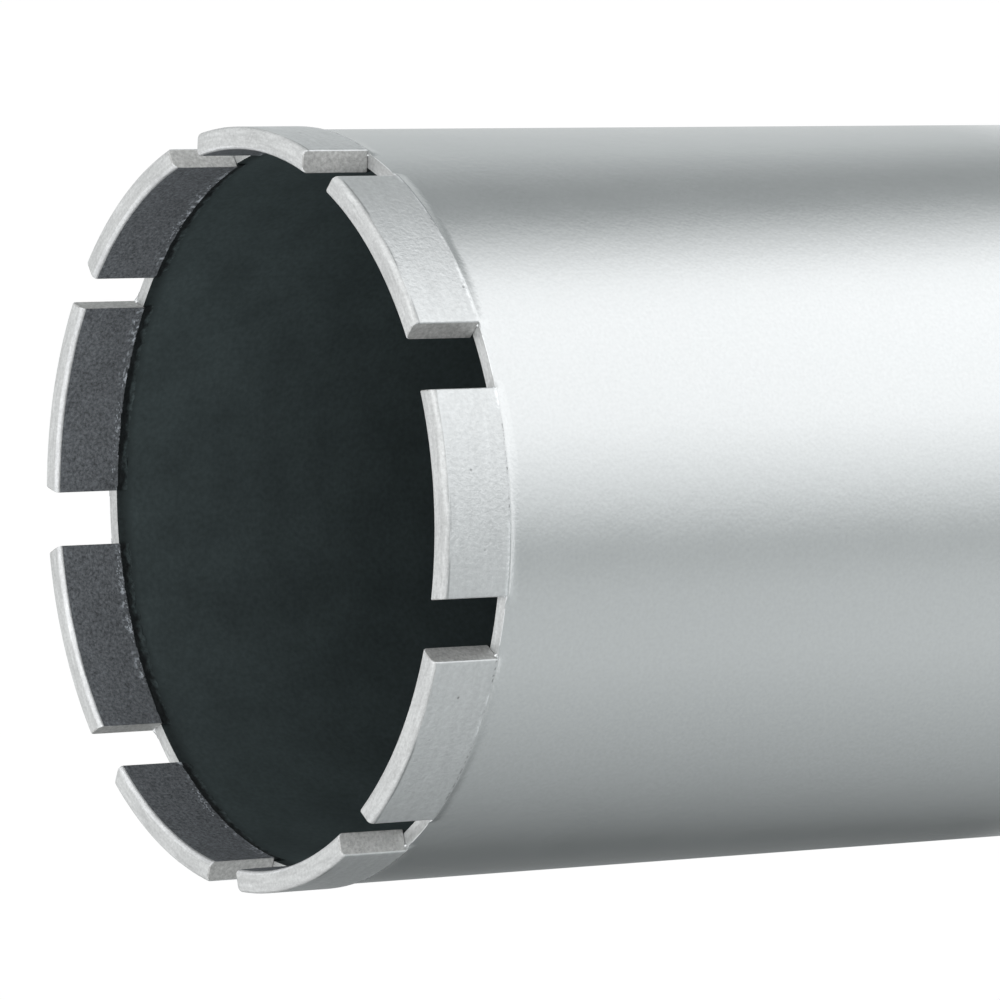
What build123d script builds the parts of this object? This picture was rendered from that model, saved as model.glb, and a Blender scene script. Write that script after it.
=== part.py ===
"""A wet core drill: a thin steel barrel with a crown of cutting segments and a threaded hub.

It stands mouth up on the hub's flat end. The origin is the centre of that end, +Z points out
of the mouth, and the first segment lies on +X. All sizes are in millimetres.
"""

import math
import os

from build123d import *

# Crown of cutting segments
crown_radius = 46.0
segment_count = 9
segment_length = 24.2
segment_height = 9.1
segment_thickness = 2.7
segment_edge = 0.2
# Degrees by which each segment stands off its even place, as hand setting leaves it
segment_drift = (0.0, 0.9, 0.4, 0.1, -1.5, -0.4, 0.4, 0.2, -0.1)

# Barrel
outside_clearance = 0.4
barrel_wall = 1.8
drilling_depth = 150.0

# Welds that hold the segments on the barrel's rim
outside_weld_run = 3.2
inside_weld_run = 1.6
weld_crown = 0.12

# End plate, which closes the barrel and stands in it with a short step
plate_flange = 4.0
plate_register = 4.0
plate_edge = 1.0
register_clearance = 0.1

# Weld round the joint of plate and barrel
plate_weld_width = 2.6
plate_weld_height = 0.3

# Hub, with an inch and a quarter female thread of seven turns to the inch
thread_diameter = 31.75
thread_lead_in = 1.2
hub_across_flats = 41.0
hub_turned_diameter = 46.0
hub_seat_diameter = 38.0
hub_hex_length = 24.0
hub_collar_length = 6.0
hub_seat_bevel = 30.0
spigot_wall = 4.0
spigot_clearance = 0.1

# Weld round the hub's collar
hub_weld_leg = 4.0

# Sizes that follow
segment_inner_radius = crown_radius - segment_thickness
barrel_radius = crown_radius - outside_clearance
barrel_bore_radius = barrel_radius - barrel_wall
thread_radius = thread_diameter / 2
hub_turned_radius = hub_turned_diameter / 2
hub_seat_radius = hub_seat_diameter / 2
spigot_radius = thread_radius + spigot_wall

# Levels, up from the hub's seat
hex_top = hub_hex_length
plate_outside = hex_top + hub_collar_length
barrel_foot = plate_outside + plate_flange
plate_inside = barrel_foot + plate_register
mouth = plate_inside + drilling_depth
rim = mouth - segment_height


def segment_seat(index, level):
    """The plane that one segment is drawn on, with its local X pointing out at the segment."""
    angle = math.radians(360 / segment_count * index + segment_drift[index % len(segment_drift)])
    return Plane(origin=(0, 0, level), x_dir=(math.cos(angle), math.sin(angle), 0), z_dir=(0, 0, 1))


def block_footprint(inner_radius, outer_radius, length):
    """A curved block's outline in the current sketch: two arcs on the centre and straight parallel sides."""
    Circle(outer_radius)
    Circle(inner_radius, mode=Mode.SUBTRACT)
    with Locations((outer_radius / 2, 0)):
        Rectangle(outer_radius, length, mode=Mode.INTERSECT)


def bead_section(corner, along, up, crown):
    """A weld's section on the XZ plane: a corner filled from one leg to the other by a raised arc."""
    foot = (corner[0] + along[0], corner[1] + along[1])
    top = (corner[0] + up[0], corner[1] + up[1])
    middle = ((foot[0] + top[0]) / 2, (foot[1] + top[1]) / 2)
    away = (middle[0] - corner[0], middle[1] - corner[1])
    reach = math.hypot(*away)
    peak = (middle[0] + away[0] / reach * crown, middle[1] + away[1] / reach * crown)
    with BuildSketch(Plane.XZ) as section:
        with BuildLine():
            Polyline(foot, corner, top)
            ThreePointArc(top, peak, foot)
        make_face()
    return section.sketch


os.makedirs("parts", exist_ok=True)

# Barrel: a plain tube, cut square at the rim
with BuildPart() as barrel_tube:
    with BuildSketch(Plane.XY.offset(barrel_foot)):
        Circle(barrel_radius)
        Circle(barrel_bore_radius, mode=Mode.SUBTRACT)
    extrude(amount=rim - barrel_foot)
barrel_tube.part.label = "barrel_tube"
export_step(barrel_tube.part, "parts/barrel_tube.step")

# Sections of the two welds behind every segment, one outside the rim and one inside it
outside_bead = bead_section((barrel_radius, rim), (0, -outside_weld_run), (outside_clearance, 0), weld_crown)
inside_overhang = segment_inner_radius - barrel_bore_radius
inside_bead = bead_section((barrel_bore_radius, rim), (0, -inside_weld_run), (inside_overhang, 0), weld_crown)

# Segments, each pressed as a block with parallel sides, and the welds behind each one
for number in range(segment_count):
    with BuildPart() as segment:
        with BuildSketch(segment_seat(number, rim)):
            block_footprint(segment_inner_radius, crown_radius, segment_length)
        extrude(amount=segment_height)
        chamfer(segment.edges().group_by(Axis.Z)[-1], segment_edge)
    segment.part.label = f"segment_{number + 1}"
    export_step(segment.part, f"parts/segment_{number + 1}.step")

    with BuildPart() as segment_weld:
        revolve(outside_bead, axis=Axis.Z)
        revolve(inside_bead, axis=Axis.Z)
        with BuildSketch(segment_seat(number, rim)):
            block_footprint(segment_inner_radius / 2, crown_radius + weld_crown, segment_length)
        extrude(amount=-outside_weld_run, mode=Mode.INTERSECT)
    segment_weld.part.label = f"segment_weld_{number + 1}"
    export_step(segment_weld.part, f"parts/segment_weld_{number + 1}.step")

# End plate: a turned disc as wide as the barrel, with a step that stands in the bore
with BuildPart() as end_plate:
    with BuildSketch(Plane.XY.offset(plate_outside)):
        Circle(barrel_radius)
    extrude(amount=plate_flange)
    chamfer(end_plate.edges().group_by(Axis.Z)[0], plate_edge)
    with BuildSketch(Plane.XY.offset(barrel_foot)):
        Circle(barrel_bore_radius - register_clearance)
    extrude(amount=plate_register)
    Hole(spigot_radius + spigot_clearance)
end_plate.part.label = "end_plate"
export_step(end_plate.part, "parts/end_plate.step")

# Hub: hexagon bar turned at its corners and seat, a round collar and a spigot through the plate
with BuildPart() as hub:
    with BuildSketch():
        RegularPolygon(hub_across_flats / 2, 6, major_radius=False)
    extrude(amount=hex_top)
    with BuildSketch(Plane.XZ):
        bevel_rise = (hub_turned_radius - hub_seat_radius) * math.tan(math.radians(hub_seat_bevel))
        Polygon(
            (0, 0),
            (hub_seat_radius, 0),
            (hub_turned_radius, bevel_rise),
            (hub_turned_radius, hex_top),
            (0, hex_top),
            align=None,
        )
    revolve(axis=Axis.Z, mode=Mode.INTERSECT)
    with BuildSketch(Plane.XY.offset(hex_top)):
        Circle(hub_turned_radius)
    extrude(amount=hub_collar_length)
    with BuildSketch(Plane.XY.offset(plate_outside)):
        Circle(spigot_radius)
    extrude(amount=plate_flange + plate_register)
    with BuildSketch(Plane.XZ):
        Polygon(
            (0, 0),
            (thread_radius + thread_lead_in, 0),
            (thread_radius, thread_lead_in),
            (thread_radius, plate_inside - thread_lead_in),
            (thread_radius + thread_lead_in, plate_inside),
            (0, plate_inside),
            align=None,
        )
    revolve(axis=Axis.Z, mode=Mode.SUBTRACT)
hub.part.label = "hub"
export_step(hub.part, "parts/hub.step")

# Weld round the joint of barrel and end plate
with BuildPart() as plate_weld:
    with BuildSketch(Plane.XZ):
        with BuildLine():
            low = (barrel_radius, barrel_foot - plate_weld_width / 2)
            high = (barrel_radius, barrel_foot + plate_weld_width / 2)
            ThreePointArc(low, (barrel_radius + plate_weld_height, barrel_foot), high)
            Line(high, low)
        make_face()
    revolve(axis=Axis.Z)
plate_weld.part.label = "plate_weld"
export_step(plate_weld.part, "parts/plate_weld.step")

# Weld in the corner between the hub's collar and the end plate, a mitred ring
with BuildPart() as hub_weld:
    with BuildSketch(Plane.XZ):
        Polygon(
            (hub_turned_radius, plate_outside),
            (hub_turned_radius + hub_weld_leg, plate_outside),
            (hub_turned_radius, plate_outside - hub_weld_leg),
            align=None,
        )
    revolve(axis=Axis.Z)
hub_weld.part.label = "hub_weld"
export_step(hub_weld.part, "parts/hub_weld.step")
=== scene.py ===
"""Looks of a wet core drill that stands mouth up on its hub: a lacquered thin-walled barrel,
a crown of sintered segments, and the welded end with its threaded hub."""

import math
import random
from functools import partial

import bpy
import bmesh
from bpy.props import FloatProperty, FloatVectorProperty, PointerProperty
from mathutils import Matrix, Vector, noise


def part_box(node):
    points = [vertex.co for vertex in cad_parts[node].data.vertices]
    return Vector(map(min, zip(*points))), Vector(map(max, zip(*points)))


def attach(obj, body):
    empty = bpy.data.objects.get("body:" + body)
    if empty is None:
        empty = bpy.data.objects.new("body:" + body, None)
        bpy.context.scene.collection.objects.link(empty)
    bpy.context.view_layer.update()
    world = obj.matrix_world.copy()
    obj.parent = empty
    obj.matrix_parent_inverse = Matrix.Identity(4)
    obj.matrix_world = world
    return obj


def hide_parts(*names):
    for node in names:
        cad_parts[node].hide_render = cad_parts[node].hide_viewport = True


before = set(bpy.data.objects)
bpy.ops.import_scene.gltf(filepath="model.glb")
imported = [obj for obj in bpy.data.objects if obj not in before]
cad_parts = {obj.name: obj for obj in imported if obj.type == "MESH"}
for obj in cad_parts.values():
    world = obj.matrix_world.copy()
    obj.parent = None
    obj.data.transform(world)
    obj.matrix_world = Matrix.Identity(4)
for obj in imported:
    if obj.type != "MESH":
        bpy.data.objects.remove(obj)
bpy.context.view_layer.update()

bl_info = {
    "name": "Core Bit",
    "version": (1, 0, 0),
    "blender": (4, 5, 0),
    "location": "View3D > Sidebar > Core Bit",
    "description": "Builds a thin-walled core drilling bit with its crown, welds and threaded hub",
    "category": "Add Mesh",
}

MM = 0.001
BODY = "root"
SEGMENTS = sorted((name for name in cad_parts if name.startswith("segment_") and "weld" not in name),
                  key=lambda name: int(name.rsplit("_", 1)[1]))
SEGMENT_WELDS = [name.replace("segment_", "segment_weld_") for name in SEGMENTS]
# Levels read from the frame, in metres up from the hub's seat
PLATE_LOW, PLATE_HIGH = (corner.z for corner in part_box("end_plate"))
BARREL_FOOT, RIM = (corner.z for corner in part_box("barrel_tube"))
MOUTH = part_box("segment_1")[1].z
# How far behind the front the lacquer on a segment's skin is chipped
CHIP_LINE = 0.75 * MM
# A pattern as long as it is wide at this radius is drawn out in streaks further from the axis
STREAK_RADIUS = 6 * MM
# Points nearer than this become one, and edges shorter than this go
SAME_POINT, NO_LENGTH = 0.01 * MM, 0.001 * MM


def linear(code):
    """Turns an sRGB hex colour such as #C8C8C8 into linear red, green and blue."""
    parts = [int(code[i:i + 2], 16) / 255 for i in (1, 3, 5)]
    return tuple(c / 12.92 if c <= 0.04045 else ((c + 0.055) / 1.055) ** 2.4 for c in parts)


def length(name, size, description):
    """A length property whose default is given in millimetres."""
    return FloatProperty(name=name, description=description, default=size * MM, unit="LENGTH", precision=5)


def colour(name, code, description):
    """A colour property whose default is an sRGB hex value."""
    return FloatVectorProperty(name=name, description=description, default=linear(code), size=3,
                               subtype="COLOR", min=0, max=1)


class CoreBitSizes(bpy.types.PropertyGroup):
    """Sizes of the bit that a user may change."""

    crown_radius: length("Crown radius", 46.0, "From the axis to the outside of the segments")
    barrel_radius: length("Barrel radius", 45.6, "From the axis to the outside of the barrel")
    barrel_wall: length("Barrel wall", 1.8, "Thickness of the barrel's sheet")
    segment_length: length("Segment length", 24.2, "Straight across a segment, side to side")
    segment_thickness: length("Segment thickness", 2.7, "From a segment's inner face to its outer face")
    segment_round: length("Segment edge", 0.2, "Rounding of a segment's edges")
    front_round: length("Segment front edges", 0.65, "Rounding of a segment's two long edges at the front")
    outside_run: length("Outside weld run", 1.7, "How far the outside weld runs down the barrel")
    inside_run: length("Inside weld run", 1.6, "How far the inside weld runs down the barrel")
    thread_radius: length("Thread radius", 15.875, "Full radius of the hub's female thread")
    thread_pitch: length("Thread pitch", 3.629, "Rise of the thread in one turn")
    hub_radius: length("Hub radius", 23.0, "Radius that the hub's bar is turned to")
    hub_flats: length("Hub across flats", 41.0, "Across the flats of the hub's hexagon")
    hub_seat: length("Hub seat radius", 19.0, "Radius of the hub's flat seat")
    hub_hex: length("Hub hexagon length", 24.0, "Height of the hexagon")
    hub_weld_leg: length("Hub weld leg", 4.0, "Leg of the weld between hub and plate")
    plate_weld_width: length("Plate weld width", 2.6, "Width of the weld round the barrel's foot")
    plate_weld_height: length("Plate weld height", 0.3, "How far that weld stands out")


class CoreBitColours(bpy.types.PropertyGroup):
    """Colours of the finishes."""

    lacquer: colour("Silver lacquer", "#E3E6E7", "Aluminium flake lacquer on the barrel")
    bare: colour("Bare segment metal", "#CED0D0", "Ground sintered metal on the cutting faces")
    # The inner edge is tinted lighter than the bare faces as a painted highlight along the dressed round
    edge: colour("Dressed inner edge with painted highlight", "#DCDEDF", "Brightest metal, along the cutting faces' inner edges")
    flank: colour("Segment flank", "#B4B5B4", "Unpainted sides of the segments")
    inside: colour("Inside scale", "#3A4344", "Dark scale on the barrel's inside")
    segment_inside: colour("Segment inner face", "#6E7276", "Dark sintered skin on the segments' inner faces")
    # The joint's near-black tint is burnt weld metal, darkened further as painted shade of the undercut behind the
    # segments
    burnt_and_shade: colour("Burnt joint and painted shade", "#15191A", "Soot in the joint behind the segments")
    steel: colour("Machined steel", "#BFC0C1", "Turned and milled steel of the hub")
    floor: colour("Floor", "#9A9A9A", "Matt paint of the floor, which the camera sees as white")


def pick(obj):
    """Selects one object alone and makes it active, because operators act on what is selected."""
    bpy.ops.object.select_all(action="DESELECT")
    obj.select_set(True)
    bpy.context.view_layer.objects.active = obj


def edit(obj):
    """Opens one object in edit mode with all of its mesh selected."""
    pick(obj)
    bpy.ops.object.mode_set(mode="EDIT")
    bpy.ops.mesh.select_all(action="SELECT")


def leave():
    """Closes edit mode."""
    bpy.ops.object.mode_set(mode="OBJECT")


def modifier(obj, kind, **settings):
    """Adds a modifier with its settings and applies it."""
    pick(obj)
    added = obj.modifiers.new(kind.lower(), kind)
    for key, value in settings.items():
        setattr(added, key, value)
    bpy.ops.object.modifier_apply(modifier=added.name)


def smooth(obj, degrees, keep_flats=False):
    """Smooth shading with hard edges kept above an angle. To keep flats, large faces hold their own
    direction, so that a small round along their edge doesn't tilt what they mirror."""
    pick(obj)
    bpy.ops.object.shade_smooth_by_angle(angle=math.radians(degrees))
    if keep_flats:
        modifier(obj, "WEIGHTED_NORMAL", keep_sharp=True)


def drawn(name, section):
    """A piece's closed section, a list of (radius, height), drawn edge by edge on the XZ plane."""
    bpy.ops.mesh.primitive_plane_add(size=MM, location=(section[0][0], 0, section[0][1]))
    piece = bpy.context.active_object
    piece.name = piece.data.name = name
    pick(piece)
    bpy.ops.object.transform_apply(location=True, rotation=True, scale=True)
    edit(piece)
    bpy.ops.mesh.merge(type="CENTER")
    for here, there in zip(section, section[1:]):
        step = (there[0] - here[0], 0, there[1] - here[1])
        bpy.ops.mesh.extrude_region_move(TRANSFORM_OT_translate={"value": step})
    outline = bmesh.from_edit_mesh(piece.data)
    for vertex in outline.verts:
        vertex.select = len(vertex.link_edges) == 1
    outline.select_flush_mode()
    bpy.ops.mesh.edge_face_add()
    leave()
    return piece


def turned(name, section, steps):
    """A turned piece: its closed section is spun once round the axis."""
    piece = drawn(name, section)
    edit(piece)
    bpy.ops.mesh.spin(steps=steps, angle=2 * math.pi, center=(0, 0, 0), axis=(0, 0, 1))
    bpy.ops.mesh.select_all(action="SELECT")
    bpy.ops.mesh.remove_doubles(threshold=SAME_POINT)
    bpy.ops.mesh.normals_make_consistent(inside=False)
    leave()
    return piece


def cut(piece, *planes):
    """Cuts away what lies beyond each plane, given as a point and its outward direction, and closes the cut."""
    edit(piece)
    for point, outward in planes:
        bpy.ops.mesh.select_all(action="SELECT")
        bpy.ops.mesh.bisect(plane_co=point, plane_no=outward, use_fill=True, clear_outer=True)
    leave()


def drop_empty(piece):
    """Removes edges and faces of no size."""
    edit(piece)
    bpy.ops.mesh.dissolve_degenerate(threshold=NO_LENGTH)
    leave()


def stretch_of_ring(name, section, steps, half_width):
    """The stretch of a turned ring on +X between two parallel planes."""
    piece = turned(name, section, steps)
    cut(piece, ((0, half_width, 0), (0, 1, 0)), ((0, -half_width, 0), (0, -1, 0)), ((0, 0, 0), (-1, 0, 0)))
    return piece


def reshape(piece, move):
    """Moves each point by a function of its angle round the axis, radius and height."""
    for vertex in piece.data.vertices:
        angle, radius = math.atan2(vertex.co.y, vertex.co.x), vertex.co.xy.length
        radius, height = move(angle, radius, vertex.co.z)
        vertex.co = (radius * math.cos(angle), radius * math.sin(angle), height)
    piece.data.update()


def joined(name, *parts):
    """Several meshes made one piece."""
    pick(parts[0])
    for part in parts:
        part.select_set(True)
    bpy.ops.object.join()
    parts[0].name = parts[0].data.name = name
    return parts[0]


def ease(share):
    """A smooth rise from 0 to 1."""
    share = min(max(share, 0.0), 1.0)
    return share * share * (3 - 2 * share)


def rough(x, y, size, seed):
    """Uneven height between about -1 and 1, with hollows of this many millimetres. Each seed reads its own
    layer of the noise."""
    apart = 7.3
    return noise.noise(Vector((x / (size * MM), y / (size * MM), apart * seed)))


def turn_copy(source, name, angle):
    """A copy of a piece with its own mesh, turned about the bit's axis."""
    copy = source.copy()
    copy.data = source.data.copy()
    copy.name = copy.data.name = name
    bpy.context.scene.collection.objects.link(copy)
    copy.data.transform(Matrix.Rotation(angle, 4, "Z"))
    return copy


def segment_angle(name):
    """Where the frame's segment stands round the axis, from the middle of its box."""
    points = [v.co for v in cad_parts[name].data.vertices]
    return math.atan2(sum(p.y for p in points), sum(p.x for p in points))


def paint(obj, rules, spare):
    """Gives each face the first material whose rule its centre and normal meet, or else the spare one."""
    obj.data.materials.clear()
    for _, material in rules:
        obj.data.materials.append(material)
    obj.data.materials.append(spare)
    for face in obj.data.polygons:
        face.material_index = next((i for i, (rule, _) in enumerate(rules) if rule(face.center, face.normal)),
                                   len(rules))


def node(tree, kind, inputs=None, **settings):
    """Adds one shader node with its own settings. Each input gets a value, another node's output, or a node,
    which stands for its first output."""
    made = tree.nodes.new("ShaderNode" + kind)
    for key, value in settings.items():
        setattr(made, key, value)
    for key, value in (inputs or {}).items():
        if isinstance(value, bpy.types.Node):
            value = value.outputs[0]
        if isinstance(value, bpy.types.NodeSocket):
            tree.links.new(value, made.inputs[key])
        else:
            made.inputs[key].default_value = value
    return made


def new_material(name):
    """An empty material, the function that adds its nodes, and the place on the object that patterns lie on."""
    material = bpy.data.materials.new(name)
    material.use_nodes = True
    material.node_tree.nodes.clear()
    add = partial(node, material.node_tree)
    return material, add, add("TexCoord").outputs["Object"]


def per(size):
    """Noise scale whose features are this many millimetres wide."""
    return 1 / (size * MM)


def span(low, high, least=0.3, most=0.7):
    """Inputs that stretch a value from its range, which for noise is mostly 0.3 to 0.7, to another one."""
    return {"From Min": least, "From Max": most, "To Min": low, "To Max": high}


def finish(add, tint, shade, normal, metal, roughness):
    """Adds the shader with a shaded tint, a bumped normal, a metallic value and a roughness."""
    tone = add("VectorMath", {0: tint, "Scale": shade}, operation="SCALE")
    shader = add("BsdfPrincipled", {"Base Color": tone, "Metallic": metal, "Roughness": roughness, "Normal": normal})
    add("OutputMaterial", {"Surface": shader})


def lacquer(name, tint, grain=1.0):
    """Aluminium flake lacquer, sprayed: a soft metallic sheen over a faint orange peel and fine flakes.
    The flakes are drawn at 0.45 mm, coarser than real ones, so that they show."""
    material, add, place = new_material(name)
    peel = add("TexNoise", {"Vector": place, "Scale": per(2.2)})
    flakes = add("TexNoise", {"Vector": place, "Scale": per(0.45), "Detail": 3.0})
    mottle = add("TexNoise", {"Vector": place, "Scale": per(9.0), "Detail": 4.0})
    low = add("Bump", {"Height": peel, "Distance": 0.02 * MM * grain})
    high = add("Bump", {"Height": flakes, "Distance": 0.015 * MM * grain, "Normal": low})
    finish(add, tint, add("MapRange", {"Value": flakes, **span(0.965, 1.015)}), high, 1.0,
           add("MapRange", {"Value": mottle, **span(0.2, 0.24)}))
    return material


def about_axis(add, place):
    """The place's three coordinates, and its distance from the axis."""
    parts = add("SeparateXYZ", {0: place}).outputs
    flat = add("CombineXYZ", {"X": parts["X"], "Y": parts["Y"]})
    return parts, add("VectorMath", {0: flat}, operation="LENGTH").outputs["Value"]


def streaked(add, place):
    """The place as distance from the axis, way round it and height, with the way round it shortened to that
    of a smaller radius, so that a pattern runs round the axis in streaks."""
    parts, radius = about_axis(add, place)
    turn = add("Math", {0: parts["Y"], 1: parts["X"]}, operation="ARCTAN2")
    along = add("Math", {0: turn, 1: STREAK_RADIUS}, operation="MULTIPLY")
    return add("CombineXYZ", {"X": radius, "Y": along, "Z": parts["Z"]})


def near_level(add, place, start, end, level=RIM):
    """How near a place is to the rim's joint, or to another level: 1 up to the start and 0 from the end, in
    millimetres up or down."""
    height = add("SeparateXYZ", {0: place}).outputs["Z"]
    off = add("Math", {0: height, 1: level}, operation="SUBTRACT")
    away = add("Math", {0: off}, operation="ABSOLUTE")
    return add("MapRange", {"Value": away, **span(1.0, 0.0, start * MM, end * MM)})


def lacquered_grit(name, tint):
    """The same lacquer over pressed metal powder: duller than on the barrel, with a fine grain, faint streaks
    round the axis from the press, and a few pinholes. Along the joint runs, in some stretches, a pale line that
    is a painted highlight, and in others a row of dark dots. A broken dark line marks where dressing has
    chipped it off the front."""
    material, add, place = new_material(name)
    grain = add("TexNoise", {"Vector": place, "Scale": per(0.5), "Detail": 3.0, "Roughness": 0.6})
    streaks = add("TexNoise", {"Vector": streaked(add, place), "Scale": per(1.0), "Detail": 3.0})
    cells = add("TexVoronoi", {"Vector": place, "Scale": per(2.4)})
    stretches = add("TexNoise", {"Vector": place, "Scale": per(7.0)})
    # Whole skin is 1 and a pinhole 0, at the middle of the cells whose colour is dark
    away = add("MapRange", {"Value": cells, **span(0.0, 1.0, 0.03, 0.1)})
    spared = add("MapRange", {"Value": cells.outputs["Color"], **span(0.0, 1.0, 0.4, 0.45)})
    whole = add("Math", {0: away, 1: spared}, operation="MAXIMUM")
    # Along the joint, dark dots in some stretches, and in the others a pale dotted line, a painted highlight
    dotted = add("MapRange", {"Value": stretches, **span(0.0, 1.0, 0.45, 0.55)})
    dots = add("MapRange", {"Value": grain, **span(0.0, 1.0, 0.5, 0.62)})
    row = add("Math", {0: dots, 1: dotted}, operation="MULTIPLY")
    dark = add("Math", {0: near_level(add, place, 0.2, 0.45), 1: row}, operation="MULTIPLY")
    # The pale line along the joint is a painted highlight. It is dotted by the grain and lies in the stretches
    # without dark dots
    bright = add("MapRange", {"Value": stretches, **span(1.0, 0.0, 0.42, 0.5)})
    drops = add("MapRange", {"Value": grain, **span(0.1, 0.3, 0.4, 0.55)})
    line = add("Math", {0: drops, 1: bright}, operation="MULTIPLY")
    pale = add("Math", {0: near_level(add, place, 0.25, 0.6), 1: line}, operation="MULTIPLY")
    # The broken line of chips behind the front
    broken = add("MapRange", {"Value": streaks, **span(0.6, 0.0, 0.42, 0.52)})
    chips = add("Math", {0: near_level(add, place, 0.06, 0.2, MOUTH - CHIP_LINE), 1: broken}, operation="MULTIPLY")
    # All that darkens the skin, and the painted highlight on top
    marks = add("Math", {0: dark, 1: chips}, operation="MAXIMUM")
    worn = add("Math", {0: add("MapRange", {"Value": streaks, **span(0.89, 0.97)}),
                        1: add("MapRange", {"Value": whole, **span(0.5, 1.0, 0.0, 1.0)})}, operation="MULTIPLY")
    spots = add("Math", {0: add("MapRange", {"Value": grain, **span(0.93, 1.07)}),
                         1: add("MapRange", {"Value": marks, **span(1.0, 0.4, 0.0, 1.0)})}, operation="MULTIPLY")
    powder = add("Math", {0: worn, 1: spots}, operation="MULTIPLY")
    shade = add("Math", {0: powder, 1: pale}, operation="ADD")
    low = add("Bump", {"Height": whole, "Distance": 0.05 * MM})
    high = add("Bump", {"Height": grain, "Distance": 0.075 * MM, "Normal": low})
    finish(add, tint, shade, high, 1.0, 0.42)
    return material


def ground_grit(name, tint):
    """Sintered metal ground flat: bright and satin, in faint layers round the axis from the press, with fine
    scratches and dark and pale grains. The grains are drawn at 0.4 mm, coarser than real ones."""
    material, add, place = new_material(name)
    round_axis = streaked(add, place)
    scratches = add("TexNoise", {"Vector": round_axis, "Scale": per(0.35), "Detail": 3.0, "Roughness": 0.6})
    layers = add("TexNoise", {"Vector": round_axis, "Scale": per(1.1)})
    grit = add("TexNoise", {"Vector": place, "Scale": per(0.4), "Detail": 3.0, "Roughness": 0.65})
    lines = add("Math", {0: add("MapRange", {"Value": scratches, **span(0.87, 1.07)}),
                         1: add("MapRange", {"Value": layers, **span(0.9, 1.07)})}, operation="MULTIPLY")
    grains = add("MapRange", {"Value": grit, **span(0.84, 1.08)})
    shade = add("Math", {0: lines, 1: grains}, operation="MULTIPLY")
    low = add("Bump", {"Height": scratches, "Distance": 0.03 * MM})
    high = add("Bump", {"Height": grit, "Distance": 0.03 * MM, "Normal": low})
    finish(add, tint, shade, high, 0.85, 0.5)
    return material


def gritty(name, tint, grain, roughness, low_shade, high_shade):
    """Sintered or burnt metal: dull, with grains and small hollows of the size given in millimetres."""
    material, add, place = new_material(name)
    grit = add("TexNoise", {"Vector": place, "Scale": per(grain), "Detail": 4.0, "Roughness": 0.7})
    blotch = add("TexNoise", {"Vector": place, "Scale": per(5.0), "Detail": 3.0})
    shade = add("Math", {0: add("MapRange", {"Value": grit, **span(low_shade, high_shade)}),
                         1: add("MapRange", {"Value": blotch, **span(0.9, 1.1)})}, operation="MULTIPLY")
    finish(add, tint, shade, add("Bump", {"Height": grit, "Distance": 0.03 * MM}), 0.8, roughness)
    return material


def furnace_skin(name, tint):
    """Sintered metal as it left the furnace: charcoal and full of fine grains, with paler crumbs in clusters
    along the joint. The grains are drawn at 0.4 mm, coarser than real ones."""
    material, add, place = new_material(name)
    grit = add("TexNoise", {"Vector": place, "Scale": per(0.4), "Detail": 3.0, "Roughness": 0.7})
    blotch = add("TexNoise", {"Vector": place, "Scale": per(4.0), "Detail": 3.0})
    crumbs = add("TexNoise", {"Vector": place, "Scale": per(0.6)})
    clusters = add("TexNoise", {"Vector": place, "Scale": per(3.5), "Detail": 1.0})
    here = add("Math", {0: near_level(add, place, 0.3, 1.6),
                        1: add("MapRange", {"Value": clusters, **span(0.0, 1.0, 0.42, 0.55)})}, operation="MULTIPLY")
    spots = add("MapRange", {"Value": crumbs, **span(0.0, 3.2, 0.51, 0.64)})
    pale = add("Math", {0: spots, 1: here}, operation="MULTIPLY")
    dark = add("Math", {0: add("MapRange", {"Value": grit, **span(0.45, 1.55)}),
                        1: add("MapRange", {"Value": blotch, **span(0.93, 1.07)})}, operation="MULTIPLY")
    shade = add("Math", {0: dark, 1: pale}, operation="ADD")
    finish(add, tint, shade, add("Bump", {"Height": grit, "Distance": 0.06 * MM}), 0.6, 0.55)
    return material


def burnt_bead_and_shade(name, tint, scale_tint):
    """Weld metal in the joint, burnt dark and painted darker still as the shade in the undercut behind the
    segments, with pale grains in it. The painted shade greys into the scale below it in an uneven line."""
    material, add, place = new_material(name)
    grit = add("TexNoise", {"Vector": place, "Scale": per(0.5), "Detail": 4.0, "Roughness": 0.7})
    waves = add("TexNoise", {"Vector": place, "Scale": per(1.6), "Detail": 3.0})
    uneven = add("Math", {0: near_level(add, place, 0.1, 1.5),
                          1: add("MapRange", {"Value": waves, **span(-0.35, 0.35)})}, operation="ADD")
    # Share of the burnt weld and painted shade: 1 at the joint, greying into the scale below
    burnt_and_shade_share = add("MapRange", {"Value": uneven, **span(0.0, 1.0, 0.15, 0.6)})
    tone = add("Mix", {0: burnt_and_shade_share, 6: (*scale_tint, 1), 7: (*tint, 1)}, data_type="RGBA")
    finish(add, tone.outputs[2], add("MapRange", {"Value": grit, **span(0.4, 1.7)}),
           add("Bump", {"Height": grit, "Distance": 0.1 * MM}), 0.2, 0.7)
    return material


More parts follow.
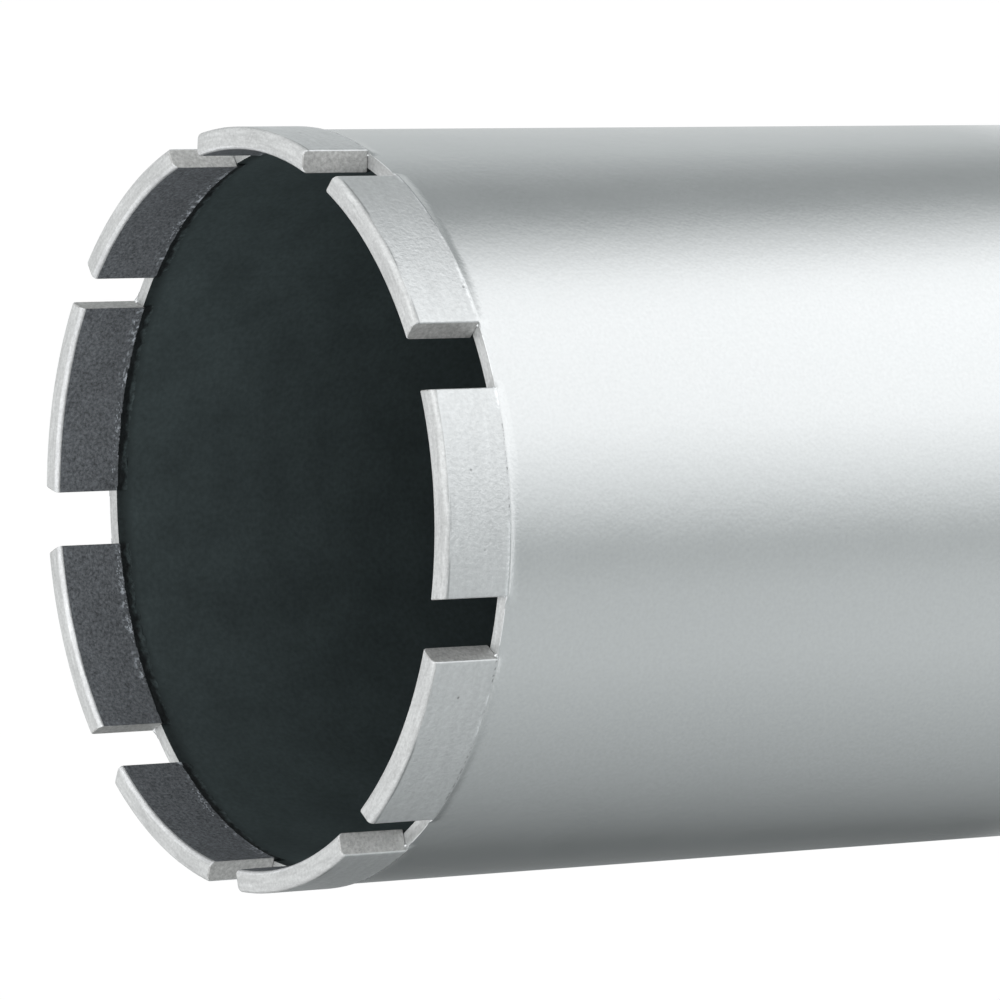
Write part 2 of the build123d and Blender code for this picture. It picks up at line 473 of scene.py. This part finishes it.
def rolled_scale(name, tint):
    """Dark rolled scale on the barrel's inside, dull with faint blotches and a fine tooth, and darker up to
    the welds: weld soot with painted shade under the segments."""
    material, add, place = new_material(name)
    blotch = add("TexNoise", {"Vector": place, "Scale": per(7.0), "Detail": 5.0})
    tooth = add("TexNoise", {"Vector": place, "Scale": per(0.6), "Detail": 3.0})
    # Soot and painted shade under the segments: darker within 2.4 mm below the rim, in the tooth's pattern
    soot_and_shade = add("Math", {0: near_level(add, place, 0.8, 2.4),
                        1: add("MapRange", {"Value": tooth, **span(0.3, 0.7)})}, operation="MULTIPLY")
    free_of_soot_and_shade = add("Math", {0: 1.0, 1: soot_and_shade}, operation="SUBTRACT")
    marks = add("Math", {0: add("MapRange", {"Value": blotch, **span(0.86, 1.14)}),
                         1: add("MapRange", {"Value": tooth, **span(0.84, 1.16)})}, operation="MULTIPLY")
    shade = add("Math", {0: marks, 1: free_of_soot_and_shade}, operation="MULTIPLY")
    finish(add, tint, shade, add("Bump", {"Height": tooth, "Distance": 0.02 * MM}), 0.3, 0.55)
    return material


def turned_steel(name, tint):
    """Steel turned on a lathe: bright, with the tool's fine marks running round the axis."""
    material, add, place = new_material(name)
    parts, radius = about_axis(add, place)
    round_axis = add("CombineXYZ", {"X": radius, "Y": parts["Z"]})
    marks = add("TexNoise", {"Vector": round_axis, "Scale": per(0.3)})
    stain = add("TexNoise", {"Vector": place, "Scale": per(8.0), "Detail": 4.0})
    finish(add, tint, add("MapRange", {"Value": stain, **span(0.9, 1.05)}),
           add("Bump", {"Height": marks, "Distance": 0.02 * MM}), 1.0,
           add("MapRange", {"Value": stain, **span(0.34, 0.24)}))
    return material


def drawn_steel(name, tint):
    """Cold drawn hexagon bar: a dull sheen with faint lines along its length."""
    material, add, place = new_material(name)
    long = add("Mapping", {"Vector": place, "Scale": (1.0, 1.0, 0.03)})
    lines = add("TexNoise", {"Vector": long, "Scale": per(0.5), "Detail": 3.0})
    stain = add("TexNoise", {"Vector": place, "Scale": per(6.0), "Detail": 4.0})
    shade = add("Math", {0: add("MapRange", {"Value": lines, **span(0.92, 1.04)}),
                         1: add("MapRange", {"Value": stain, **span(0.85, 1.02)})}, operation="MULTIPLY")
    finish(add, tint, shade, add("Bump", {"Height": lines, "Distance": 0.02 * MM}), 1.0,
           add("MapRange", {"Value": stain, **span(0.42, 0.3)}))
    return material


def put(piece, slot, *nodes):
    """Rides the finished piece on the bit's only body, and hides the frame's nodes that it stands for. Its slot is
    not used.
    """
    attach(piece, BODY)
    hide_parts(*nodes)


def is_outer(radius):
    """A rule for faces that look away from the axis at or beyond this radius."""
    return lambda centre, normal: (centre.x * normal.x + centre.y * normal.y > 0.5 * centre.xy.length
                                   and centre.xy.length > radius)


def is_inner(centre, normal):
    """A rule for faces that look towards the axis."""
    return centre.x * normal.x + centre.y * normal.y < -0.5 * centre.xy.length


def looks_up(centre, normal):
    """A rule for faces that look out of the mouth."""
    return normal.z > 0.7


class COREBIT_OT_barrel(bpy.types.Operator):
    """Builds the barrel, lacquered outside, dark inside and bare at its square rim"""

    bl_idname = "corebit.barrel"
    bl_label = "Barrel"

    def execute(self, context):
        sizes, colours = context.scene.core_bit_sizes, context.scene.core_bit_colours
        outer, inner = sizes.barrel_radius, sizes.barrel_radius - sizes.barrel_wall
        section = [(outer, BARREL_FOOT), (outer, RIM), (inner, RIM), (inner, BARREL_FOOT)]
        barrel = turned("barrel", section, steps=512)
        modifier(barrel, "BEVEL", width=0.12 * MM, segments=2, limit_method="ANGLE", angle_limit=math.radians(40))
        smooth(barrel, 50, keep_flats=True)
        paint(barrel, [(looks_up, ground_grit("cut rim", colours.bare)),
                       (is_inner, rolled_scale("rolled scale", colours.inside))],
              lacquer("silver lacquer", colours.lacquer))
        put(barrel, "silver_lacquer", "barrel_tube")
        return {"FINISHED"}


class COREBIT_OT_segments(bpy.types.Operator):
    """Builds one pressed segment and sets copies of it round the rim"""

    bl_idname = "corebit.segments"
    bl_label = "Segments"

    def execute(self, context):
        sizes, colours = context.scene.core_bit_sizes, context.scene.core_bit_colours
        outer, inner = sizes.crown_radius, sizes.crown_radius - sizes.segment_thickness
        section = [(outer, RIM), (outer, MOUTH), (inner, MOUTH), (inner, RIM)]
        block = stretch_of_ring("segment_block", section, steps=320, half_width=sizes.segment_length / 2)
        self.round_front_edges(block, outer, inner, sizes.front_round)
        modifier(block, "BEVEL", width=sizes.segment_round, segments=2, limit_method="ANGLE",
                 angle_limit=math.radians(50))
        smooth(block, 50, keep_flats=True)
        low_front = MOUTH - 0.9 * sizes.front_round

        def dressed(side):
            """A rule for the round along the front's outer edge, or along the inner one where side is -1."""
            return lambda centre, normal: normal.z > 0.1 and centre.z > low_front and side * normal.x > 0.1

        paint(block, [(lambda centre, normal: normal.z > 0.95, ground_grit("ground cutting face", colours.bare)),
                      (dressed(1), ground_grit("dressed outer edge", colours.bare)),
                      # The inner round takes the lighter tint, a painted highlight
                      (dressed(-1), ground_grit("dressed inner edge with painted highlight", colours.edge)),
                      (is_outer(outer - sizes.segment_round), lacquered_grit("lacquered grit", colours.lacquer)),
                      (is_inner, furnace_skin("furnace skin", colours.segment_inside))],
              gritty("bare sintered flank", colours.flank, 0.45, 0.55, 0.7, 1.25))
        for name in SEGMENTS:
            piece = turn_copy(block, "cutting_" + name, segment_angle(name))
            put(piece, "segment_metal", name)
        bpy.data.objects.remove(block)
        return {"FINISHED"}

    @staticmethod
    def round_front_edges(block, outer, inner, width):
        """Rounds the two long edges of the front face, which dressing wears more than the others."""
        edit(block)
        bpy.ops.mesh.select_mode(type="EDGE")
        bpy.ops.mesh.select_all(action="DESELECT")
        mesh = bmesh.from_edit_mesh(block.data)
        for edge in mesh.edges:
            front = all(vertex.co.z > MOUTH - SAME_POINT for vertex in edge.verts)
            along = any(all(abs(vertex.co.xy.length - radius) < 0.05 * MM for vertex in edge.verts)
                        for radius in (outer, inner))
            edge.select_set(front and along)
        bpy.ops.mesh.bevel(offset=width, segments=4, affect="EDGES")
        bpy.ops.mesh.select_mode(type="VERT")
        leave()


# The random draws of the first segment's welds come from this seed, and each next segment takes the next
FIRST_SEED = 11


class COREBIT_OT_segment_welds(bpy.types.Operator):
    """Builds each segment's two welds: a painted ramp outside, and a burnt bead with painted shade and spatter
    inside
    """

    bl_idname = "corebit.segment_welds"
    bl_label = "Segment welds"

    def execute(self, context):
        sizes, colours = context.scene.core_bit_sizes, context.scene.core_bit_colours
        painted = lacquer("lacquered weld", colours.lacquer, 2.0)
        # The bead's material is burnt weld with painted shade in the joint
        burnt_and_shade = burnt_bead_and_shade("burnt joint and painted shade", colours.burnt_and_shade, colours.inside)
        pale = gritty("weld spatter", colours.segment_inside, 0.3, 0.45, 1.4, 2.4)
        ramp = self.ramp(sizes)
        bead = self.bead(sizes)
        drop = self.drop()
        for number, (name, weld) in enumerate(zip(SEGMENTS, SEGMENT_WELDS)):
            dice = random.Random(FIRST_SEED + number)
            outside = turn_copy(ramp, "ramp_part", 0.0)
            self.settle_ramp(outside, sizes, number)
            blobs = [self.blob(drop, sizes, side, dice) for side in (-1, 1)]
            inside = turn_copy(bead, "bead_part", 0.0)
            self.settle_bead(inside, sizes, number)
            drops = self.spatter(drop, sizes, dice)
            for parts, material in (((outside, *blobs), painted), ((inside,), burnt_and_shade), (drops, pale)):
                for part in parts:
                    part.data.materials.append(material)
            piece = joined("weld_of_" + name, outside, *blobs, inside, *drops)
            piece.data.transform(Matrix.Rotation(segment_angle(name), 4, "Z"))
            drop_empty(piece)
            smooth(piece, 60)
            put(piece, "silver_lacquer", weld)
        for part in (ramp, bead, drop):
            bpy.data.objects.remove(part)
        return {"FINISHED"}

    @staticmethod
    def ramp(sizes):
        """The outside ramp, still even: from the segment's skin down to just under the barrel's."""
        buried = sizes.barrel_radius - 0.4 * MM
        steps = 16
        slope = [(sizes.barrel_radius, RIM - sizes.outside_run * (1 - i / steps)) for i in range(steps + 1)]
        lap = [(sizes.barrel_radius, RIM + 0.12 * MM), (sizes.barrel_radius, RIM + 0.3 * MM)]
        section = [(buried, slope[0][1]), *slope, *lap, (buried, lap[-1][1])]
        return stretch_of_ring("weld_ramp", section, steps=720, half_width=sizes.segment_length / 2 + 1.4 * MM)

    @staticmethod
    def settle_ramp(piece, sizes, number):
        """Gives one ramp its own length and lumps. It is steepest at the joint, and fades out down the barrel
        and round the segment's corners."""
        skin, rise = sizes.barrel_radius - 0.006 * MM, sizes.crown_radius - sizes.barrel_radius
        half = sizes.segment_length / 2

        def move(angle, radius, height):
            across = angle * sizes.barrel_radius
            down = (RIM - height) / sizes.outside_run
            run = 1.0 + 0.2 * rough(across, 0, 9, number) + 0.1 * rough(across, 5, 2.5, number)
            end = ease((half + 1.2 * MM - abs(across)) / (1.3 * MM))
            # Past the segment's sides nothing stands above the rim
            if down < -0.001 and abs(across) > half - 0.1 * MM:
                height = RIM - 0.05 * MM
            if radius < skin - 0.1 * MM:
                return radius, RIM - down * run * sizes.outside_run if down > 0 else height
            if down <= 0:
                lap = rise - 0.01 * MM + 0.05 * MM * rough(across, height, 0.8, number)
                return skin + min(lap, rise) * end, height
            lump = 0.03 * MM * rough(across, height, 1.7, number) * ease(4 * down) * (1 - down) ** 2
            slope = rise * (1 - math.sin(down * math.pi / 2))
            return skin + (slope + lump) * end, RIM - down * run * sizes.outside_run

        reshape(piece, move)

    @staticmethod
    def bead(sizes):
        """The inside bead, still even: from the segment's inner face out to the barrel's."""
        inner, bore = sizes.crown_radius - sizes.segment_thickness, sizes.barrel_radius - sizes.barrel_wall
        steps = 10
        slope = [(inner + (bore - inner) * i / steps, RIM + 0.2 * MM - (sizes.inside_run + 0.2 * MM) * i / steps)
                 for i in range(steps + 1)]
        section = [(bore + 0.5 * MM, slope[0][1]), *slope, (bore + 0.5 * MM, slope[-1][1])]
        return stretch_of_ring("weld_bead", section, steps=960, half_width=sizes.segment_length / 2)

    @staticmethod
    def settle_bead(piece, sizes, number):
        """Makes one inside bead ragged, by seeds of its own."""
        bore = sizes.barrel_radius - sizes.barrel_wall
        coarse, fine, wave = number + 20, number + 40, number + 60

        def move(angle, radius, height):
            if radius > bore + 0.3 * MM:
                return radius, height
            across = angle * bore
            ragged = rough(across, height, 1.1, coarse) + 0.7 * rough(across, height, 0.55, fine)
            return radius + 0.14 * MM * ragged, height + 0.2 * MM * rough(across, 0, 0.9, wave)

        reshape(piece, move)

    @staticmethod
    def drop():
        """A drop of weld, 1 mm in radius and flatter along X."""
        bpy.ops.mesh.primitive_ico_sphere_add(subdivisions=2, radius=MM)
        piece = bpy.context.active_object
        edit(piece)
        bpy.ops.transform.resize(value=(0.6, 1.0, 1.0))
        leave()
        return piece

    @staticmethod
    def spatter(drop, sizes, dice):
        """Clusters of flat drops sunk in the segment's inner face near its joint."""
        radius = sizes.crown_radius - sizes.segment_thickness
        drops = []
        for _ in range(dice.randint(4, 6)):
            middle = dice.uniform(-0.9, 0.9) * sizes.segment_length / 2
            level = RIM + dice.uniform(0.15, 0.6) * MM
            for _ in range(dice.randint(5, 9)):
                size = dice.uniform(0.07, 0.18)
                turn = (middle + dice.gauss(0, 1.1) * MM) / radius
                copy = turn_copy(drop, "drop_part", 0.0)
                copy.data.transform(Matrix.Diagonal((0.6 * size, size * dice.uniform(0.7, 1.5), size, 1)))
                copy.data.transform(Matrix.Rotation(turn, 4, "Z")
                                    @ Matrix.Translation((radius, 0, level + abs(dice.gauss(0, 0.3)) * MM)))
                drops.append(copy)
        return drops

    @staticmethod
    def blob(drop, sizes, side, dice):
        """A blob of weld in the corner between the segment's side and the rim."""
        copy = turn_copy(drop, "blob_part", 0.0)
        size = dice.uniform(0.3, 0.5)
        copy.data.transform(Matrix.Diagonal((size * 0.8, size, size * 0.9, 1)))
        across = sizes.segment_length / 2 + 0.1 * size * MM
        copy.data.transform(Matrix.Rotation(side * across / sizes.barrel_radius, 4, "Z")
                            @ Matrix.Translation((sizes.barrel_radius - 0.3 * MM, 0, RIM - 0.1 * MM)))
        return copy


# Wall of the hub's spigot outside its thread
SPIGOT_WALL = 4 * MM


class COREBIT_OT_end_plate(bpy.types.Operator):
    """Builds the end plate with the rippled weld round the barrel's foot"""

    bl_idname = "corebit.end_plate"
    bl_label = "End plate"

    def execute(self, context):
        sizes, colours = context.scene.core_bit_sizes, context.scene.core_bit_colours
        outer, edge, clearance = sizes.barrel_radius, 1 * MM, 0.1 * MM
        step = outer - sizes.barrel_wall - clearance
        hole = sizes.thread_radius + SPIGOT_WALL + clearance
        corner = [(outer - edge + edge * math.sin(i * math.pi / 12),
                   PLATE_LOW + edge - edge * math.cos(i * math.pi / 12)) for i in range(7)]
        section = [(hole, PLATE_LOW), *corner, (outer, BARREL_FOOT), (step, BARREL_FOOT), (step, PLATE_HIGH),
                   (hole, PLATE_HIGH)]
        plate = turned("closing_plate", section, steps=256)
        smooth(plate, 50, keep_flats=True)
        paint(plate, [(looks_up, turned_steel("turned plate", colours.steel))],
              lacquer("lacquered plate", colours.lacquer, 1.4))
        put(plate, "silver_lacquer", "end_plate")

        reach, crown = sizes.plate_weld_width / 2, sizes.plate_weld_height
        arc = [(outer + crown * math.sin(i * math.pi / 8), BARREL_FOOT - reach * math.cos(i * math.pi / 8))
               for i in range(9)]
        buried = outer - 0.3 * MM
        weld = turned("foot_weld", [(buried, BARREL_FOOT - reach), *arc, (buried, BARREL_FOOT + reach)],
                      steps=1440)

        def move(angle, radius, height):
            if radius < outer - 0.1 * MM:
                return radius, height
            side = (height - BARREL_FOOT) / reach
            wave = ripple(angle, side, count=190, lag=0.5)
            stray = 0.12 * MM * rough(angle * outer, 0, 4, 3)
            return outer - 0.02 * MM + (radius - outer) * (0.72 + 0.28 * wave), height + stray

        reshape(weld, move)
        smooth(weld, 60)
        weld.data.materials.append(lacquer("lacquered foot weld", colours.lacquer, 2.0))
        put(weld, "silver_lacquer", "plate_weld")
        return {"FINISHED"}


class COREBIT_OT_hub(bpy.types.Operator):
    """Builds the hub of hexagon bar with its female thread, and the weld round its collar"""

    bl_idname = "corebit.hub"
    bl_label = "Hub"

    def execute(self, context):
        sizes, colours = context.scene.core_bit_sizes, context.scene.core_bit_colours
        bore, lead, outer = sizes.thread_radius, 1.2 * MM, sizes.hub_radius
        bevel = (outer - sizes.hub_seat) * math.tan(math.radians(30))
        hexagon = turned("hub_hexagon", [(bore + lead, 0), (sizes.hub_seat, 0), (outer, bevel),
                                         (outer, sizes.hub_hex), (bore, sizes.hub_hex), (bore, lead)], steps=192)
        cut(hexagon, *[(side * sizes.hub_flats / 2, side) for side in hexagon_flats()])
        smooth(hexagon, 20)
        steel, bar = turned_steel("turned steel", colours.steel), drawn_steel("drawn hexagon bar", colours.steel)
        paint(hexagon, [(lambda centre, normal: abs(normal.z) < 0.1
                         and bore + MM < centre.xy.length < outer - 0.1 * MM, bar)], steel)

        spigot = bore + SPIGOT_WALL
        collar = turned("hub_collar", [(bore, sizes.hub_hex), (outer, sizes.hub_hex), (outer, PLATE_LOW),
                                       (spigot, PLATE_LOW), (spigot, PLATE_HIGH), (bore + lead, PLATE_HIGH),
                                       (bore, PLATE_HIGH - lead)], steps=192)
        smooth(collar, 30)
        paint(collar, [(is_outer(spigot + MM), lacquer("lacquered collar", colours.lacquer, 1.4))], steel)

        thread = self.thread(sizes, bore, lead)
        paint(thread, [], steel)
        hub = joined("threaded_hub", hexagon, collar, thread)
        put(hub, "machined_steel", "hub")

        leg, crown = sizes.hub_weld_leg, 0.25 * MM
        arc = [(outer + leg * (1 - i / 10) + crown * math.sin(i * math.pi / 10),
                PLATE_LOW - leg * i / 10 - crown * math.sin(i * math.pi / 10)) for i in range(11)]
        buried, above = outer - 0.3 * MM, PLATE_LOW + 0.2 * MM
        weld = turned("collar_weld", [(buried, above), (arc[0][0], above), *arc, (buried, arc[-1][1])], steps=720)

        def move(angle, radius, height):
            if radius < outer + SAME_POINT or height > PLATE_LOW - SAME_POINT:
                return radius, height
            side = (radius - outer) / leg * 2 - 1
            wave = 0.3 * MM * (ripple(angle, side, count=76, lag=0.8) - 1) * ease(2.4 - 2.4 * abs(side))
            return radius + wave, height - wave

        reshape(weld, move)
        smooth(weld, 60)
        weld.data.materials.append(lacquer("lacquered collar weld", colours.lacquer, 2.0))
        put(weld, "silver_lacquer", "hub_weld")
        return {"FINISHED"}

    @staticmethod
    def thread(sizes, bore, lead):
        """The thread's ridge, screwed up the bore and cut back by the cones at both mouths. Its buried root
        and its ends lie inside the hub's metal."""
        pitch, crest, base, cover = sizes.thread_pitch, bore - 1.85 * MM, bore + 1.55 * MM, 0.35 * MM
        section = [(base, -0.49 * pitch), (bore, -0.43 * pitch), (crest, -0.15 * pitch), (crest, 0.15 * pitch),
                   (bore, 0.43 * pitch), (base, 0.49 * pitch)]
        start = cover - pitch / 2
        turns = (PLATE_HIGH - 2 * start) / pitch
        ridge = drawn("thread_ridge", [(radius, height + start) for radius, height in section])
        modifier(ridge, "SCREW", axis="Z", angle=2 * math.pi * turns, screw_offset=pitch * turns,
                 steps=round(96 * turns), render_steps=round(96 * turns))
        edit(ridge)
        bpy.ops.mesh.select_all(action="DESELECT")
        bpy.ops.mesh.select_non_manifold(extend=False)
        bpy.ops.mesh.fill_holes(sides=len(section))
        bpy.ops.mesh.select_all(action="SELECT")
        bpy.ops.mesh.normals_make_consistent(inside=False)
        leave()

        def move(angle, radius, height):
            height = min(max(height, cover), PLATE_HIGH - cover)
            return max(radius, bore + lead + 0.03 * MM - min(height, PLATE_HIGH - height)), height

        reshape(ridge, move)
        drop_empty(ridge)
        smooth(ridge, 30)
        return ridge


def hexagon_flats():
    """The directions that the hexagon's flats face, read from the frame's hub."""
    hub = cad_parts["hub"].data
    widest = max((face for face in hub.polygons if abs(face.normal.z) < 0.01 and face.center.z < PLATE_LOW),
                 key=lambda face: face.area)
    first = math.degrees(math.atan2(widest.normal.y, widest.normal.x))
    return [direction(first + 60 * i, 0) for i in range(6)]


def ripple(angle, side, count, lag):
    """A weld's scales round the axis, from 0 to 1: each one laps the last and bows back at the weld's sides."""
    share = (angle * count / (2 * math.pi) + lag * side * side) % 1.0
    return ease(share * 1.6) * (1 - ease((share - 0.62) / 0.38))


# Side of the square floor, in metres
FLOOR_SIZE = 12.0
# How bright the camera sees the floor, and how much of it: the rest is the paint, which keeps the bit's shadow
CAMERA_WHITE, WHITE_SHARE = 1.12, 0.85
# How bright metal sees the floor, by degrees round from +X, as a share of the level below
MIRRORED_LEVEL = 1.18
MIRRORED_RING = ((-180, 0.38), (-150, 0.16), (-128, 0.12), (-90, 0.32), (-48, 0.50), (-28, 0.49), (-15, 0.39),
                 (0, 0.72), (18, 0.96), (50, 1.0), (62, 0.96), (88, 0.31), (100, 0.28), (122, 0.50), (150, 0.54))
# Each lamp's name, azimuth and height in degrees, distance in metres, width, height, power in watts, and
# whether metal mirrors it
LAMPS = (
    ("key_lamp", 45, 35, 1.2, 1.8, 1.6, 5, True),
    ("fill_lamp", -50, 30, 1.6, 2.0, 1.6, 22, False),
    ("front_lamp", 0, 60, 1.3, 2.0, 2.0, 16, False),
    ("side_lamp", 90, 45, 1.3, 1.0, 1.0, 4, False),
    ("top_lamp", 0, 88, 1.5, 1.0, 1.0, 2, False),
)
# The camera looks at a point this high on the axis, in metres, from this far away, through a lens of this
# many millimetres, from these degrees round from +X and up, and rolled clockwise by the last
CAMERA_TARGET = 0.1501
CAMERA_DISTANCE = 0.895
CAMERA_LENS = 262.4
CAMERA_AZIMUTH = -1.21
CAMERA_HEIGHT = 33.35
CAMERA_ROLL = 92.3


class COREBIT_OT_stage(bpy.types.Operator):
    """Sets the floor, the lamps and the camera"""

    bl_idname = "corebit.stage"
    bl_label = "Stage"

    def execute(self, context):
        bpy.ops.mesh.primitive_plane_add(size=FLOOR_SIZE)
        floor = bpy.context.active_object
        floor.name = "floor"
        floor.data.materials.append(floor_paint("floor paint", context.scene.core_bit_colours.floor))
        for lamp in LAMPS:
            add_lamp(*lamp)
        set_world(context.scene)
        set_camera(context.scene)
        return {"FINISHED"}


def direction(azimuth, height):
    """The unit vector that points this many degrees round from +X and up from the floor."""
    a, h = math.radians(azimuth), math.radians(height)
    return Vector((math.cos(a) * math.cos(h), math.sin(a) * math.cos(h), math.sin(h)))


def add_lamp(name, azimuth, height, distance, width, tall, power, mirrored):
    """An area lamp on a sphere round the bit's middle, turned to face it."""
    data = bpy.data.lights.new(name, "AREA")
    data.shape = "RECTANGLE"
    data.size, data.size_y, data.energy = width, tall, power
    lamp = bpy.data.objects.new(name, data)
    bpy.context.scene.collection.objects.link(lamp)
    back = direction(azimuth, height)
    lamp.location = Vector((0, 0, MOUTH / 2)) + back * distance
    lamp.rotation_euler = back.to_track_quat("Z", "Y").to_euler()
    lamp.visible_glossy = mirrored


def floor_paint(name, tint):
    """Matt paint that the camera sees as white with the bit's shadow kept. What metal mirrors of it is
    brightest towards the key lamp, as if the lamps' soft panels stood at its edge. It pales further out, and
    close to the foot, where a white disc lies."""
    material, add, place = new_material(name)
    material.cycles.emission_sampling = "NONE"
    parts, distance = about_axis(add, place)
    azimuth = add("Math", {0: parts["Y"], 1: parts["X"]}, operation="ARCTAN2")
    ring = add("ValToRGB", {"Fac": add("MapRange", {"Value": azimuth, **span(0.0, 1.0, -math.pi, math.pi)})})
    stops = ring.color_ramp.elements
    while len(stops) > 1:
        stops.remove(stops[0])
    for number, (angle, level) in enumerate(MIRRORED_RING):
        stop = stops.new((angle + 180) / 360) if number else stops[0]
        stop.position = (angle + 180) / 360
        # The darker it is, the cooler
        stop.color = (level * (0.94 + 0.06 * level), level, level, 1)
    # It pales between 0.6 and 1.8 m from the axis, and the disc ends between 0.1 and 0.13 m
    pale = add("Math", {0: add("MapRange", {"Value": distance, **span(0.0, 0.35, 0.6, 1.8)}),
                        1: add("MapRange", {"Value": distance, **span(0.5, 0.0, 0.1, 0.13)})}, operation="ADD")
    paler = add("Mix", {0: pale, 6: ring, 7: (1, 1, 1, 1)}, data_type="RGBA")
    level = add("MapRange", {"Value": distance, **span(1.05 * MIRRORED_LEVEL, MIRRORED_LEVEL, 0.2, 0.28)})
    glow = add("Emission", {"Color": paler.outputs[2], "Strength": level})
    matt = add("BsdfDiffuse", {"Color": (*tint, 1)})
    white = add("Emission", {"Color": (1, 1, 1, 1), "Strength": CAMERA_WHITE})
    path = add("LightPath").outputs
    seen = add("Math", {0: path["Is Camera Ray"], 1: WHITE_SHARE}, operation="MULTIPLY")
    for_camera = add("MixShader", {0: seen, 1: matt, 2: white})
    mirrored = add("Math", {0: path["Is Glossy Ray"], 1: path["Is Transmission Ray"]}, operation="MAXIMUM")
    mixed = add("MixShader", {0: mirrored, 1: for_camera, 2: glow})
    add("OutputMaterial", {"Surface": mixed})
    return material


def set_world(scene):
    """A plain pale surround, white where the camera sees it and where metal mirrors it."""
    world = bpy.data.worlds.new("studio")
    scene.world = world
    world.use_nodes = True
    world.cycles.sampling_method = "NONE"
    world.node_tree.nodes.clear()
    add = partial(node, world.node_tree)
    path = add("LightPath").outputs
    mirrored = add("Math", {0: path["Is Glossy Ray"], 1: path["Is Transmission Ray"]}, operation="MAXIMUM")
    seen = add("Math", {0: path["Is Camera Ray"], 1: mirrored}, operation="MAXIMUM")
    strength = add("MapRange", {"Value": seen, "To Min": 0.35, "To Max": 1.0})
    sky = add("Background", {"Color": (1, 1, 1, 1), "Strength": strength})
    add("OutputWorld", {"Surface": sky})


def set_camera(scene):
    """The photograph's camera: it looks down into the mouth, rolled so that the barrel lies along the picture."""
    data = bpy.data.cameras.new("camera")
    data.lens = CAMERA_LENS
    camera = bpy.data.objects.new("camera", data)
    scene.collection.objects.link(camera)
    back = direction(CAMERA_AZIMUTH, CAMERA_HEIGHT)
    camera.location = Vector((0, 0, CAMERA_TARGET)) + back * CAMERA_DISTANCE
    upright = back.to_track_quat("Z", "Y")
    camera.rotation_euler = (upright.to_matrix() @ Matrix.Rotation(math.radians(-CAMERA_ROLL), 3, "Z")).to_euler()
    data.clip_start = 0.01
    scene.camera = camera
    scene.view_settings.view_transform = "Standard"


class COREBIT_PT_panel(bpy.types.Panel):
    """Lists the bit's pieces in the sidebar"""

    bl_idname = "COREBIT_PT_panel"
    bl_label = "Core Bit"
    bl_space_type = "VIEW_3D"
    bl_region_type = "UI"
    bl_category = "Core Bit"

    def draw(self, context):
        for operator in OPERATORS:
            self.layout.operator(operator.bl_idname)


OPERATORS = (COREBIT_OT_barrel, COREBIT_OT_segments, COREBIT_OT_segment_welds, COREBIT_OT_end_plate,
             COREBIT_OT_hub, COREBIT_OT_stage)
CLASSES = (CoreBitSizes, CoreBitColours, *OPERATORS, COREBIT_PT_panel)


def register():
    """Registers the classes and hangs the settings on the scene."""
    for item in CLASSES:
        bpy.utils.register_class(item)
    bpy.types.Scene.core_bit_sizes = PointerProperty(type=CoreBitSizes)
    bpy.types.Scene.core_bit_colours = PointerProperty(type=CoreBitColours)


def unregister():
    """Takes the settings and classes away again."""
    del bpy.types.Scene.core_bit_colours
    del bpy.types.Scene.core_bit_sizes
    for item in reversed(CLASSES):
        bpy.utils.unregister_class(item)


def main():
    """Builds the bit and its stage."""
    register()
    for operator in OPERATORS:
        group, action = operator.bl_idname.split(".")
        getattr(getattr(bpy.ops, group), action)()


if __name__ == "__main__":
    main()
